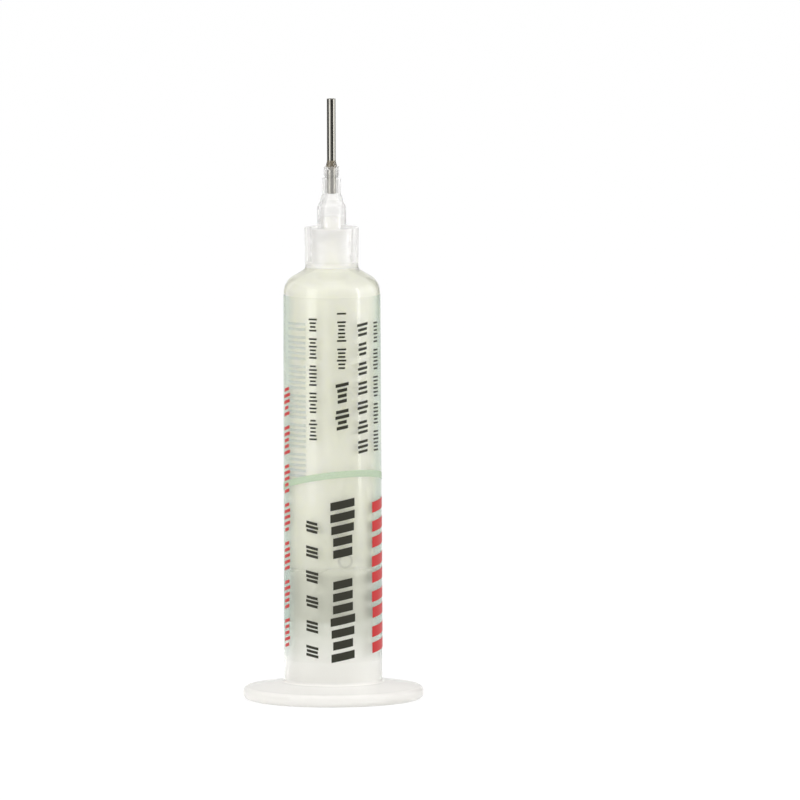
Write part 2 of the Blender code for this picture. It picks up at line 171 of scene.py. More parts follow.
class SyringeLabel(bpy.types.PropertyGroup):
    """Colours and sizes of the label film and its generic print."""

    film_tint: colour("Film", "Haze of the film", (0.72, 0.74, 0.60))
    # The sides' tint is painted shade at the film's left and right edges, not a printed field
    side_shade_tint: colour("Sides", "Printed field that covers the film's sides", (0.58, 0.72, 0.63))
    black_tint: colour("Black ink", "Colour of the black ink", (0.03, 0.03, 0.02))
    red_tint: colour("Red ink", "Colour of the red ink", (0.52, 0.014, 0.014))
    mint_tint: colour("Mint ink", "Colour of the pale band", (0.55, 0.68, 0.50))
    blue_tint: colour("Pale blue ink", "Colour of the scale's ticks", (0.55, 0.66, 0.66))
    ink_thickness: length("Ink thickness", "Thickness of the printed ink", 0.012 * MM)
    seed: IntProperty(name="Seed", description="Seed of the strokes' sizes", default=7)


class SyringeStage(bpy.types.PropertyGroup):
    """Where the camera stands and how it frames the syringe."""

    photo_size: pixels("Frame", "Side of the square picture", 800.0)
    photo_scale: FloatProperty(name="Scale", description="Pixels for one millimetre", default=5.335)
    axis_pixel: pixels("Axis", "Column of the syringe's axis", 332.3)
    foot_pixel: pixels("Foot", "Row of the flange's underside", 698.0)
    elevation: degrees("Elevation", "The camera's angle above the horizon", 5.5)
    roll: degrees("Roll", "The camera's turn about its own line of sight", -0.2)
    distance: length("Distance", "From the camera to the syringe", 3.0)


GROUPS = {
    "syringe_barrel": SyringeBarrel,
    "syringe_contents": SyringeContents,
    "syringe_needle": SyringeNeedle,
    "syringe_label": SyringeLabel,
    "syringe_stage": SyringeStage,
}


class Bench:
    """Adds nodes to a tree, so that a formula reads as one line for each step."""

    def __init__(self, tree):
        self.tree = tree

    def add(self, kind, **settings):
        node = self.tree.nodes.new(kind)
        for name, value in settings.items():
            setattr(node, name, value)
        return node

    def feed(self, target, source):
        if isinstance(source, bpy.types.NodeSocket):
            self.tree.links.new(source, target)
        else:
            target.default_value = source

    def dress(self, node, values):
        """Feed a node's inputs by their names."""
        for name, value in values.items():
            self.feed(node.inputs[name], value)

    def calc(self, operation, *terms):
        node = self.add("ShaderNodeMath", operation=operation)
        for target, term in zip(node.inputs, terms):
            self.feed(target, term)
        return node.outputs[0]

    def plus(self, one, other):
        return self.calc("ADD", one, other)

    def minus(self, one, other):
        return self.calc("SUBTRACT", one, other)

    def times(self, one, other):
        return self.calc("MULTIPLY", one, other)

    def over(self, one, other):
        return self.calc("DIVIDE", one, other)

    def within(self, value, low, high, to_low=0.0, to_high=1.0):
        node = self.add("ShaderNodeMapRange", clamp=True)
        limits = {"From Min": low, "From Max": high, "To Min": to_low, "To Max": to_high}
        self.dress(node, {"Value": value, **limits})
        return node.outputs["Result"]

    def split(self, vector):
        node = self.add("ShaderNodeSeparateXYZ")
        self.feed(node.inputs[0], vector)
        return node.outputs

    def join(self, x, y, z):
        node = self.add("ShaderNodeCombineXYZ")
        for target, term in zip(node.inputs, (x, y, z)):
            self.feed(target, term)
        return node.outputs[0]

    def blend(self, share, low, high):
        node = self.add("ShaderNodeMix", data_type="RGBA")
        self.feed(node.inputs["Factor"], share)
        self.feed(node.inputs[6], low)
        self.feed(node.inputs[7], high)
        return node.outputs[2]

    def place(self):
        """Where a point lies on its piece."""
        return self.add("ShaderNodeTexCoord").outputs["Object"]

    def either(self, share, first, second, end):
        """Show the shader first, or second by a share, at the output node named end."""
        mix = self.add("ShaderNodeMixShader")
        self.feed(mix.inputs["Fac"], share)
        self.feed(mix.inputs[1], first.outputs[0])
        self.feed(mix.inputs[2], second.outputs[0])
        self.feed(self.tree.nodes[end].inputs["Surface"], mix.outputs[0])

    def then(self, kind, geometry, **values):
        """Pass a geometry on through a node, whose other inputs take these values."""
        node = self.add(kind)
        self.feed(node.inputs[0], geometry)
        self.dress(node, values)
        return node.outputs[0]


def rgba(tint):
    return (*tint, 1.0)


def shade(tint, factor):
    """A tint made darker or lighter."""
    return (*[min(1.0, channel * factor) for channel in tint], 1.0)


def linked(name, data):
    """A new object of this data in the scene."""
    made = bpy.data.objects.new(name, data)
    bpy.context.scene.collection.objects.link(made)
    return made


# Shared surface effect


def mottle_group():
    """Soft noise between two levels, drawn out along the piece where Stretch is small."""
    found = bpy.data.node_groups.get("Mottle")
    if found:
        return found
    tree = bpy.data.node_groups.new("Mottle", "ShaderNodeTree")
    defaults = {"Scale": 300.0, "Stretch": 1.0, "Detail": 3.0, "Low": 0.3, "High": 0.7}
    for label, default in defaults.items():
        socket = tree.interface.new_socket(label, in_out="INPUT", socket_type="NodeSocketFloat")
        socket.default_value = default
    tree.interface.new_socket("Mask", in_out="OUTPUT", socket_type="NodeSocketFloat")
    bench = Bench(tree)
    given = bench.add("NodeGroupInput").outputs
    x, y, z = bench.split(bench.place())
    noise = bench.add("ShaderNodeTexNoise")
    drawn_out = bench.join(x, y, bench.times(z, given["Stretch"]))
    bench.dress(noise, {"Vector": drawn_out, "Scale": given["Scale"], "Detail": given["Detail"]})
    mask = bench.within(noise.outputs["Fac"], given["Low"], given["High"])
    bench.feed(bench.add("NodeGroupOutput").inputs["Mask"], mask)
    return tree


def mottle(bench, scale, stretch=1.0, detail=3.0, low=0.3, high=0.7):
    """Place the shared noise in a material with its own values."""
    node = bench.add("ShaderNodeGroup", node_tree=mottle_group())
    levels = {"Low": low, "High": high}
    bench.dress(node, {"Scale": scale, "Stretch": stretch, "Detail": detail, **levels})
    return node.outputs["Mask"]


# Materials


def new_material(name):
    """A material with its shader, and the bench to feed it."""
    made = bpy.data.materials.new(name)
    made.use_nodes = True
    bench = Bench(made.node_tree)
    return made, bench, made.node_tree.nodes["Principled BSDF"]


def bump(bench, shader, height, distance, strength):
    node = bench.add("ShaderNodeBump")
    bench.dress(node, {"Strength": strength, "Distance": distance, "Height": height})
    bench.feed(shader.inputs["Normal"], node.outputs["Normal"])


def lamp_passes(bench, shader):
    """Lamps shine through the plastic on to what is inside it."""
    shadow = bench.add("ShaderNodeLightPath").outputs["Is Shadow Ray"]
    clear = bench.add("ShaderNodeBsdfTransparent")
    bench.either(shadow, shader, clear, "Material Output")


def natural_plastic(name, tint, clearness, covers, fade, frost):
    """Natural polypropylene, more frosted the nearer it is to the thick foot.

    Its cover goes from the first to the second of covers between the two heights of fade, and
    its frosting fades out between the two heights of frost.
    """
    made, bench, shader = new_material(name)
    haze = mottle(bench, 180.0, detail=4.0)
    height = bench.split(bench.place())[2]
    frosting = bench.within(height, *frost, 0.55, 0.0)
    satin = bench.within(haze, 0.0, 1.0, 0.18, 0.26)
    bench.dress(shader, {
        "Base Color": bench.blend(haze, shade(tint, 0.98), rgba(tint)),
        "Roughness": bench.plus(frosting, satin),
        "Alpha": bench.within(height, *fade, *covers),
        "IOR": 1.4,
        "Transmission Weight": clearness,
        "Coat Weight": 0.6,
        "Coat Roughness": 0.06,
    })
    bump(bench, shader, mottle(bench, 900.0, stretch=0.012), 0.001 * MM, 0.5)
    lamp_passes(bench, shader)
    return made


def clear_plastic(tint, socket_top, neck):
    """The hub's clear polypropylene, fainter inside the collar and over the glued steel."""
    made, bench, shader = new_material("clear_plastic")
    haze = mottle(bench, 500.0, detail=4.0)
    height = bench.split(bench.place())[2]
    out_of_collar = bench.within(height, socket_top, socket_top + 1 * MM, 0.3, 0.65)
    glued = bench.within(height, neck - 1 * MM, neck, 0.0, 0.1)
    bench.dress(shader, {
        "Base Color": bench.blend(haze, shade(tint, 0.985), rgba(tint)),
        "Roughness": bench.within(haze, 0.0, 1.0, 0.05, 0.11),
        "Alpha": bench.minus(out_of_collar, glued),
        "IOR": 1.47,
        "Transmission Weight": 0.82,
    })
    bump(bench, shader, mottle(bench, 1500.0, stretch=0.04), 0.0024 * MM, 0.5)
    lamp_passes(bench, shader)
    return made


def flux_gel(tint, shaded_flux_tint, bare_tint, rear, neck, bubble_at, bubble_radius):
    """Pale gel: soft, faintly streaked, darker near the piston as painted shade, paler in the thin
    neck, with one bubble against the wall drawn as a painted dark ring for the shade at its edge.
    """
    made, bench, shader = new_material("flux_gel")
    place = bench.place()
    height = bench.split(place)[2]
    streaks = mottle(bench, 130.0, stretch=0.35, low=0.35, high=0.65)
    deeper = (tint[0] * 0.95, tint[1] * 0.96, tint[2] * 0.91, 1.0)
    # Painted shade: the flux darkens towards the piston
    shade_near_piston = bench.within(height, rear, rear + 9 * MM, 0.2, 0.0)
    in_neck = bench.within(height, neck, neck + 3 * MM)
    body = bench.blend(streaks, deeper, rgba(tint))
    body = bench.blend(shade_near_piston, body, rgba(shaded_flux_tint))
    body = bench.blend(in_neck, body, rgba(bare_tint))
    reach = bench.add("ShaderNodeVectorMath", operation="DISTANCE")
    bench.feed(reach.inputs[0], place)
    bench.feed(reach.inputs[1], bubble_at)
    away = bench.over(reach.outputs["Value"], bubble_radius)
    # Painted shade: a dark ring stands in for the shade at the bubble's edge
    rim = bench.times(bench.within(away, 0.6, 0.9), bench.within(away, 0.9, 1.15, 1.0, 0.0))
    bench.dress(shader, {
        "Base Color": bench.blend(bench.times(rim, 0.6), body, shade(tint, 0.5)),
        "Roughness": bench.within(streaks, 0.0, 1.0, 0.22, 0.4),
        "Subsurface Weight": 0.35,
        "Subsurface Radius": (1.0, 1.0, 0.6),
        "Subsurface Scale": 1.5 * MM,
    })
    bump(bench, shader, streaks, 0.015 * MM, 0.4)
    return made


def piston_plastic(tint, skirt_shade_tint, smear_and_shade_tint, rear, front):
    """Satin polyethylene, greyed to paint the shade inside the hollow piston, with its own
    painted-shade tint over the rear skirt and lighter where flux is smeared over its front.
    """
    made, bench, shader = new_material("piston_plastic")
    haze = mottle(bench, 420.0, detail=4.0)
    height = bench.split(bench.place())[2]
    # Painted shade: the rear skirt takes its own darker tint for the hollow behind it
    thin = bench.within(height, rear, rear + 4 * MM, 1.0, 0.0)
    smeared = bench.within(height, front - 6 * MM, front - 0.5 * MM)
    body = bench.blend(haze, rgba(tint), shade(tint, 1.1))
    body = bench.blend(thin, body, rgba(skirt_shade_tint))
    bench.dress(shader, {
        "Base Color": bench.blend(smeared, body, rgba(smear_and_shade_tint)),
        "Roughness": bench.within(haze, 0.0, 1.0, 0.38, 0.52),
    })
    bump(bench, shader, mottle(bench, 700.0, stretch=0.04), 0.004 * MM, 0.6)
    return made


def drawn_steel(tint):
    """Stainless tube with the fine lines that drawing leaves along it."""
    made, bench, shader = new_material("drawn_steel")
    lines = mottle(bench, 5200.0, stretch=0.004, detail=6.0, low=0.4, high=0.7)
    bench.dress(shader, {
        "Base Color": bench.blend(lines, rgba(tint), shade(tint, 0.84)),
        "Roughness": bench.within(lines, 0.0, 1.0, 0.12, 0.2),
        "Metallic": 1.0,
    })
    bump(bench, shader, lines, 0.0003 * MM, 0.1)
    return made


def adhesive(tint):
    """Clear, faintly brown adhesive."""
    made, bench, shader = new_material("cured_adhesive")
    lumps = mottle(bench, 1800.0, detail=4.0)
    bench.dress(shader, {
        "Base Color": bench.blend(lumps, rgba(tint), shade(tint, 1.15)),
        "Roughness": bench.within(lumps, 0.0, 1.0, 0.04, 0.1),
        "Transmission Weight": 0.95,
    })
    bump(bench, shader, lumps, 0.001 * MM, 0.1)
    lamp_passes(bench, shader)
    return made


def label_material(tint, side_shade_tint, foot):
    """Thin satin film, a little cloudy, that lets the barrel show through and fades at its foot, with
    painted edge shade: a darker, greener, denser cover towards its sides as seen from the front.
    """
    made, bench, shader = new_material("label_film")
    cloud = mottle(bench, 90.0, detail=2.0, low=0.35, high=0.65)
    x, y, height = bench.split(bench.place())
    angle = bench.calc("ABSOLUTE", bench.calc("ARCTAN2", x, bench.times(y, -1.0)))
    # Painted edge shade: past 48 degrees from the front the film turns darker, greener and denser
    side = bench.within(angle, math.radians(48), math.radians(66))
    body = bench.blend(cloud, rgba(tint), shade(tint, 0.96))
    cover = bench.within(height, foot, foot + 30 * MM, 0.22, 0.05)
    cover = bench.plus(cover, bench.times(side, 0.18))
    cover = bench.plus(cover, bench.within(cloud, 0.0, 1.0, -0.015, 0.015))
    bench.dress(shader, {
        "Base Color": bench.blend(side, body, rgba(side_shade_tint)),
        "Roughness": bench.within(cloud, 0.0, 1.0, 0.2, 0.3),
        "Alpha": bench.times(cover, bench.within(height, foot, foot + 5.5 * MM, 0.05, 1.0)),
    })
    lamp_passes(bench, shader)
    return made


def ink(name, tint, alpha):
    """Printed ink with slightly uneven cover."""
    made, bench, shader = new_material(name)
    uneven = mottle(bench, 4000.0)
    bench.dress(shader, {
        "Base Color": bench.blend(uneven, rgba(tint), shade(tint, 1.12)),
        "Roughness": bench.within(uneven, 0.0, 1.0, 0.32, 0.46),
        "Specular IOR Level": 0.25,
    })
    if alpha < 1.0:
        bench.feed(shader.inputs["Alpha"], bench.within(uneven, 0.0, 1.0, alpha * 0.96, alpha))
        lamp_passes(bench, shader)
    return made


# Turned surfaces


def arc(centre, radius, start, end, steps):
    """Points of an arc in the plane of a profile, from angle start to angle end in degrees."""
    points = []
    for step in range(steps + 1):
        angle = math.radians(start + (end - start) * step / steps)
        points.append((centre[0] + radius * math.cos(angle), centre[1] + radius * math.sin(angle)))
    return points


def run(start, end, steps):
    """Evenly spaced points from start to end."""
    across, up = end[0] - start[0], end[1] - start[1]
    return [
        (start[0] + across * step / steps, start[1] + up * step / steps) for step in range(steps + 1)
    ]


def turned(name, profile, segments, sharp_angle=30):
    """Turn a profile of (radius, height) points round the axis into a closed, smooth mesh object.

    A profile that starts off the axis is closed into a ring.
    """
    ring = profile[0][0] > 0.0
    verts, rows = [], []
    for radius, height in profile:
        if radius <= 0.0:
            rows.append([len(verts)] * segments)
            verts.append((0.0, 0.0, height))
            continue
        rows.append(list(range(len(verts), len(verts) + segments)))
        for step in range(segments):
            angle = TURN * step / segments
            verts.append((radius * math.cos(angle), radius * math.sin(angle), height))
    faces = []
    pairs = list(zip(rows, rows[1:]))
    if ring:
        pairs.append((rows[-1], rows[0]))
    for low, high in pairs:
        for step in range(segments):
            after = (step + 1) % segments
            corners = [low[step], low[after], high[after], high[step]]
            faces.append(tuple(dict.fromkeys(corners)))
    mesh = bpy.data.meshes.new(name)
    mesh.from_pydata(verts, [], faces)
    return finished(name, mesh, sharp_angle)


def finished(name, mesh, sharp_angle=30):
    """Face a closed mesh outwards, shade it smooth and link it."""
    bm = bmesh.new()
    bm.from_mesh(mesh)
    bmesh.ops.remove_doubles(bm, verts=bm.verts, dist=SAME_PLACE)
    bmesh.ops.recalc_face_normals(bm, faces=bm.faces)
    bm.to_mesh(mesh)
    bm.free()
    mesh.shade_smooth()
    mesh.set_sharp_from_angle(angle=math.radians(sharp_angle))
    return linked(name, mesh)


def made_plain(piece, name):
    """The piece's evaluated shape as a plain mesh object, in place of the piece."""
    bpy.context.view_layer.update()
    seen = piece.evaluated_get(bpy.context.evaluated_depsgraph_get())
    mesh = bpy.data.meshes.new_from_object(seen)
    mesh.name = name
    bpy.data.objects.remove(piece, do_unlink=True)
    return linked(name, mesh)


def settle(piece, body, node, material=None):
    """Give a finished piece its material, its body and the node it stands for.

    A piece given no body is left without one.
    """
    if material is not None:
        piece.data.materials.clear()
        piece.data.materials.append(material)
    if body:
        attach(piece, body)
    if node:
        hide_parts(node)


def apply_tree(piece, tree, values):
    """Add a node tree as a modifier and set its named inputs."""
    modifier = piece.modifiers.new(tree.name, "NODES")
    modifier.node_group = tree
    for item in tree.interface.items_tree:
        if item.item_type == "SOCKET" and item.in_out == "INPUT" and item.name in values:
            modifier[item.identifier] = values[item.name]


def geometry_tree(name, inputs):
    """A geometry tree with a geometry in and out and named inputs, and its bench."""
    tree = bpy.data.node_groups.new(name, "GeometryNodeTree")
    tree.interface.new_socket("Geometry", in_out="INPUT", socket_type="NodeSocketGeometry")
    tree.interface.new_socket("Geometry", in_out="OUTPUT", socket_type="NodeSocketGeometry")
    for label, kind in inputs:
        tree.interface.new_socket(label, in_out="INPUT", socket_type="NodeSocket" + kind)
    bench = Bench(tree)
    return bench, bench.add("NodeGroupInput").outputs, bench.add("NodeGroupOutput").inputs[0]


def helical_tree():
    """Raise or sink helical ribs on a turned wall: a thread's ridges, or lugs that follow it."""
    found = bpy.data.node_groups.get("Helical ribs")
    if found:
        return found
    names = (
        "Wall Radius", "Height", "Lead", "Starts", "Crest Width", "Root Width",
        "Start Angle", "Start Height", "Low End", "High End", "End Fade", "Arc",
    )
    inputs = [(name, "Float") for name in names] + [("Material", "Material")]
    bench, given, result = geometry_tree("Helical ribs", inputs)
    x, y, z = bench.split(bench.add("GeometryNodeInputPosition").outputs[0])
    radius = bench.calc("SQRT", bench.plus(bench.times(x, x), bench.times(y, y)))
    angle = bench.minus(bench.calc("ARCTAN2", y, x), given["Start Angle"])
    pitch = bench.over(given["Lead"], given["Starts"])
    turns = bench.over(bench.times(angle, given["Starts"]), TURN)

    # Distance along the axis from the nearest rib's centre line
    climb = bench.over(bench.minus(z, given["Start Height"]), pitch)
    phase = bench.minus(climb, turns)
    off_line = bench.calc("ABSOLUTE", bench.minus(phase, bench.calc("ROUND", phase)))
    away = bench.times(off_line, pitch)
    half_crest = bench.times(given["Crest Width"], 0.5)
    half_root = bench.times(given["Root Width"], 0.5)
    rib = bench.within(away, half_crest, half_root, 1.0, 0.0)

    # The ribs fade out at their ends, and lugs stop at the end of their arc
    low, high, fade = given["Low End"], given["High End"], given["End Fade"]
    low_end = bench.within(z, low, bench.plus(low, fade))
    high_end = bench.within(z, bench.minus(high, fade), high, 1.0, 0.0)
    part_turn = bench.calc("FRACT", bench.plus(turns, given["Starts"]))
    share = bench.over(bench.times(given["Arc"], given["Starts"]), TURN)
    in_arc = bench.calc("LESS_THAN", part_turn, share)
    off_wall = bench.calc("ABSOLUTE", bench.minus(radius, given["Wall Radius"]))
    on_wall = bench.calc("LESS_THAN", off_wall, ON_WALL)
    height = given["Height"]
    for factor in (rib, low_end, high_end, in_arc, on_wall):
        height = bench.times(height, factor)
    stretch = bench.plus(1.0, bench.over(height, radius))
    moved = bench.join(bench.times(x, stretch), bench.times(y, stretch), z)
    ribbed = bench.then("GeometryNodeSetPosition", given["Geometry"], Position=moved)
    whole = bench.then("GeometryNodeRealizeInstances", ribbed)
    bench.feed(result, bench.then("GeometryNodeSetMaterial", whole, Material=given["Material"]))
    return bench.tree


def stroke_tree():
    """A row of printed strokes, wrapped round the label film.

    A stroke starts flat: X runs round the film, Y outwards and Z up the row.
    """
    found = bpy.data.node_groups.get("Printed strokes")
    if found:
        return found
    names = (
        "Stroke", "Gap", "Group Gap", "Row Height", "Shortest", "Slant", "Angle", "Foot",
        "Film Radius", "Film Taper", "Thickness", "Arc",
    )
    inputs = [(name, "Int") for name in ("Count", "Group", "Seed")]
    inputs += [(name, "Float") for name in names] + [("Material", "Material")]
    bench, given, result = geometry_tree("Printed strokes", inputs)
    index = bench.add("GeometryNodeInputIndex").outputs[0]
    step = bench.plus(given["Stroke"], given["Gap"])
    groups = bench.calc("FLOOR", bench.over(index, given["Group"]))
    along = bench.plus(bench.times(index, step), bench.times(groups, given["Group Gap"]))
    line = bench.add("GeometryNodeMeshLine")
    bench.feed(line.inputs["Count"], given["Count"])
    up = bench.join(0.0, 0.0, bench.plus(along, given["Foot"]))
    points = bench.then("GeometryNodeSetPosition", line.outputs["Mesh"], Position=up)
    bar = bench.add("GeometryNodeMeshCube")
    cuts = bench.over(given["Row Height"], STROKE_FACET)
    bench.dress(bar, {
        "Size": bench.join(given["Row Height"], given["Thickness"], given["Stroke"]),
        "Vertices X": bench.plus(cuts, 3.0),
        "Vertices Y": 2,
        "Vertices Z": 3,
    })
    dice = bench.add("FunctionNodeRandomValue", data_type="FLOAT")
    bench.feed(dice.inputs[2], given["Shortest"])
    bench.feed(dice.inputs[3], 1.0)
    bench.feed(dice.inputs["Seed"], given["Seed"])
    sizes = bench.join(dice.outputs[1], 1.0, 1.0)
    row = bench.then("GeometryNodeInstanceOnPoints", points, Instance=bar.outputs["Mesh"], Scale=sizes)
    flat = bench.then("GeometryNodeRealizeInstances", row)

    x, y, z = bench.split(bench.add("GeometryNodeInputPosition").outputs[0])
    slanted = bench.plus(z, bench.times(x, given["Slant"]))
    film = bench.plus(given["Film Radius"], bench.times(z, given["Film Taper"]))
    radius = bench.plus(film, y)
    turn = bench.plus(bench.over(x, given["Film Radius"]), given["Angle"])
    from_peak = bench.minus(turn, ARC_PEAK)
    rise = bench.times(bench.calc("COSINE", from_peak), given["Arc"])
    wrapped = bench.join(
        bench.times(bench.calc("SINE", turn), radius),
        bench.times(bench.calc("COSINE", turn), bench.times(radius, -1.0)),
        bench.plus(slanted, rise),
    )
    wrap = bench.then("GeometryNodeSetPosition", flat, Position=wrapped)

    # Wrapping mirrors the strokes, so their faces are turned back outwards
    outward = bench.then("GeometryNodeFlipFaces", wrap)
    whole = bench.then("GeometryNodeRealizeInstances", outward)
    bench.feed(result, bench.then("GeometryNodeSetMaterial", whole, Material=given["Material"]))
    return bench.tree


# Shapes that the pieces share

SHOULDER_ANGLE = math.radians(30)
NOZZLE_TAPER = 0.06
BARREL_SEGMENTS = 192
HUB_SEGMENTS = 144
NEEDLE_SEGMENTS = 64
THREAD_STARTS = 2.0
THREAD_ANGLE = math.pi / 64
THREAD_FOOT = 1.0 * MM  # The thread's start above the collar's floor
FILM_GAP = 0.03 * MM
FILM_THICKNESS = 0.06 * MM
INK_GAP = 0.004 * MM
TUBE_MIDDLE = 55 * MM
NOZZLE_TIP_Z = BARREL_BOX[1][2]
HUB_BASE_Z = HUB_BOX[0][2]
HUB_TOP_Z = HUB_BOX[1][2]


def shoulder_centre(barrel):
    return barrel.bore_radius + barrel.top_wall - barrel.shoulder_round


def shoulder_height(barrel, tube_radius, radius):
    """Height above the shoulder's start of the cone from a tube of tube_radius in to radius."""
    turn = math.pi / 2 - SHOULDER_ANGLE
    round_radius = tube_radius - shoulder_centre(barrel)
    cone_start = shoulder_centre(barrel) + round_radius * math.cos(turn)
    return round_radius * math.sin(turn) + (cone_start - radius) * math.tan(SHOULDER_ANGLE)


def shoulder(barrel, tube_radius, end_radius):
    """The rounded corner and cone that lead a wall of tube_radius in to end_radius."""
    centre = (shoulder_centre(barrel), barrel.tube_length)
    points = arc(centre, tube_radius - centre[0], 0, 90 - math.degrees(SHOULDER_ANGLE), 14)
    end = (end_radius, barrel.tube_length + shoulder_height(barrel, tube_radius, end_radius))
    return points[:-1] + run(points[-1], end, 8)


def collar_rim(barrel):
    return NOZZLE_TIP_Z - barrel.nozzle_proud


def nozzle_radius(barrel, height):
    return barrel.nozzle_tip_radius + NOZZLE_TAPER / 2 * (NOZZLE_TIP_Z - height)


def film_radius(barrel, height):
    """Outer radius of the tube at a height, which the label follows."""
    share = (height - barrel.flange_thickness) / (barrel.tube_length - barrel.flange_thickness)
    foot = barrel.bore_radius + barrel.foot_wall
    return foot + (barrel.top_wall - barrel.foot_wall) * share


class SYRINGE_OT_barrel(bpy.types.Operator):
    """Build the moulded barrel with its flange, shoulder, nozzle and threaded collar"""

    bl_idname = "syringe.barrel"
    bl_label = "Build barrel"

    def execute(self, context):
        size = context.scene.syringe_barrel
        edge = size.flange_edge
        rim = collar_rim(size)
        floor = rim - size.collar_depth
        root = nozzle_radius(size, floor)
        foot_radius = size.bore_radius + size.foot_wall
        collar_radius = size.collar_bore_radius + size.collar_wall
        rim_radius = collar_radius + size.collar_flare
        rim_edge = 0.25 * MM
        lead_in = 0.5 * MM
        blend_radius = 0.6 * MM
        profile = arc((size.flange_radius - edge, edge), edge, -90, 0, 8)
        profile += arc((size.flange_radius - edge, size.flange_thickness - edge), edge, 0, 90, 8)[1:]
        fillet = size.flange_fillet
        fillet_centre = (foot_radius + fillet, size.flange_thickness + size.flange_crown + fillet)
        crown_top = (fillet_centre[0] + 0.15 * fillet, fillet_centre[1] - fillet)
        profile += run(profile[-1], crown_top, 8)[1:]
        profile += arc(fillet_centre, fillet, 262, 180, 8)
        tube_top = shoulder(size, size.bore_radius + size.top_wall, collar_radius + blend_radius)
        profile += run(profile[-1], tube_top[0], 24)[1:-1] + tube_top
        collar_base = profile[-1][1] + blend_radius * 1.1
        profile += [(collar_radius + blend_radius * 0.35, collar_base - blend_radius * 0.55)]
        profile += [(collar_radius + blend_radius * 0.08, collar_base)]
        profile += arc((rim_radius - rim_edge, rim - rim_edge), rim_edge, 0, 90, 5)
        profile += arc((size.collar_bore_radius + rim_edge, rim - rim_edge), rim_edge, 90, 180, 5)
        floor_edge = 0.2 * MM
        bottom = floor + floor_edge
        thread_rows = 80
        thread_stop, thread_fade = 0.7 * MM, 0.35 * MM
        profile += run(profile[-1], (size.collar_bore_radius, bottom), thread_rows)[1:]
        profile += arc((size.collar_bore_radius - floor_edge, bottom), floor_edge, 0, -90, 4)[1:]
        profile += arc((root + floor_edge, bottom), floor_edge, -90, -180, 4)
        tip_edge = 0.2 * MM
        profile += arc((size.nozzle_tip_radius - tip_edge, NOZZLE_TIP_Z - tip_edge), tip_edge, 0, 90, 4)
        profile += [(size.nozzle_bore_radius, NOZZLE_TIP_Z)]
        profile += reversed(shoulder(size, size.bore_radius, size.nozzle_bore_radius))
        profile += [(size.bore_radius, lead_in), (size.bore_radius + lead_in, 0.0)]
        at_collar = (collar_base - 1.5 * MM, collar_base + 1.0 * MM)
        foot_top = fillet_centre[1] - 0.5 * fillet
        frost = (foot_top, size.frost_top)
        heights = (at_collar, frost)
        plastic = natural_plastic("natural_plastic", size.tint, 0.95, (1.0, 0.7), *heights)
        milky = natural_plastic("natural_plastic_thick", size.thick_tint, 0.3, (1.0, 0.4), *heights)
        blank = turned("barrel_blank", profile, BARREL_SEGMENTS)
        low_end = floor + THREAD_FOOT
        apply_tree(blank, helical_tree(), {
            "Wall Radius": size.collar_bore_radius,
            "Height": -size.ridge_height,
            "Lead": size.thread_lead,
            "Starts": THREAD_STARTS,
            "Crest Width": size.ridge_crest,
            "Root Width": size.ridge_root,
            "Start Angle": THREAD_ANGLE,
            "Start Height": low_end + size.ridge_root / 2,
            "Low End": low_end,
            "High End": rim - thread_stop,
            "End Fade": thread_fade,
            "Arc": TURN,
            "Material": plastic,
        })
        moulding = made_plain(blank, "barrel_moulding")
        moulding.data.materials.append(milky)
        for face in moulding.data.polygons:
            height, out = face.center.z, face.center.xy.length
            flange = height < foot_top and out > size.bore_radius + lead_in
            inside = size.collar_bore_radius + floor_edge / 2 - out
            thread = 0.0 < inside < size.ridge_height + floor_edge
            collar = height > bottom and not thread
            face.material_index = 1 if flange or collar else 0
        settle(moulding, "barrel", "barrel")
        return {"FINISHED"}


